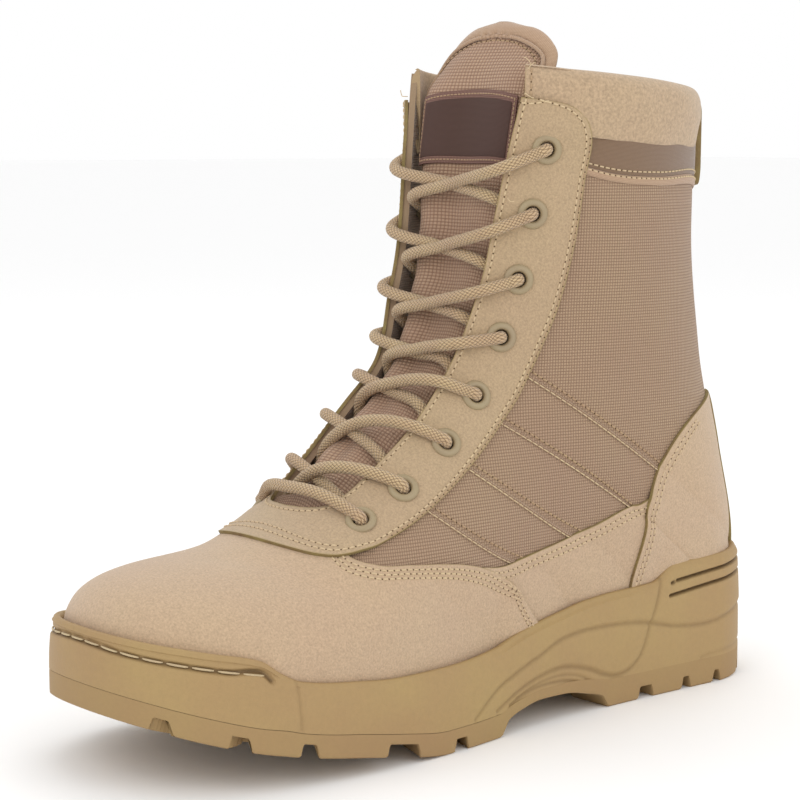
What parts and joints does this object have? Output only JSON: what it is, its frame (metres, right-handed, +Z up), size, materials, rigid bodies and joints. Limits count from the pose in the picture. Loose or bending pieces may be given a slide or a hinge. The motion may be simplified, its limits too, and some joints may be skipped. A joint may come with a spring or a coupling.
{
  "type": "lace-up desert boot",
  "caption": "Tall lace-up boot with a suede and nylon upper, padded collar and tongue, corded facings and a thick lugged rubber sole.",
  "frame": {"origin": "on the floor, at the middle of the heel's tread", "axes": "+Z up, the toe points to -Y, +X is the outer (lateral) side of this left boot"},
  "size_m": [0.1067, 0.2943, 0.2486],
  "materials": {
    "sole_rubber": "matte moulded rubber",
    "lining": "soft lining cloth",
    "suede": "sand-coloured suede",
    "nylon": "coarse basket-weave nylon",
    "eyelet_paint": "khaki painted metal",
    "lace": "round braided cord"
  },
  "bodies": {
    "root": {"outsole": "sole_rubber", "midsole": "sole_rubber", "insole": "lining", "upper": "suede", "tongue": "nylon", "eyelet_lateral_1": "eyelet_paint", "eyelet_lateral_2": "eyelet_paint", "eyelet_lateral_3": "eyelet_paint", "eyelet_lateral_4": "eyelet_paint", "eyelet_lateral_5": "eyelet_paint", "eyelet_lateral_6": "eyelet_paint", "eyelet_lateral_7": "eyelet_paint", "eyelet_lateral_8": "eyelet_paint", "eyelet_medial_1": "eyelet_paint", "eyelet_medial_2": "eyelet_paint", "eyelet_medial_3": "eyelet_paint", "eyelet_medial_4": "eyelet_paint", "eyelet_medial_5": "eyelet_paint", "eyelet_medial_6": "eyelet_paint", "eyelet_medial_7": "eyelet_paint", "eyelet_medial_8": "eyelet_paint", "lace_crossing_1": "lace", "lace_crossing_2": "lace", "lace_crossing_3": "lace", "lace_crossing_4": "lace", "lace_crossing_5": "lace", "lace_crossing_6": "lace", "lace_crossing_7": "lace", "lace_bar": "lace"}
  },
  "joints": []
}
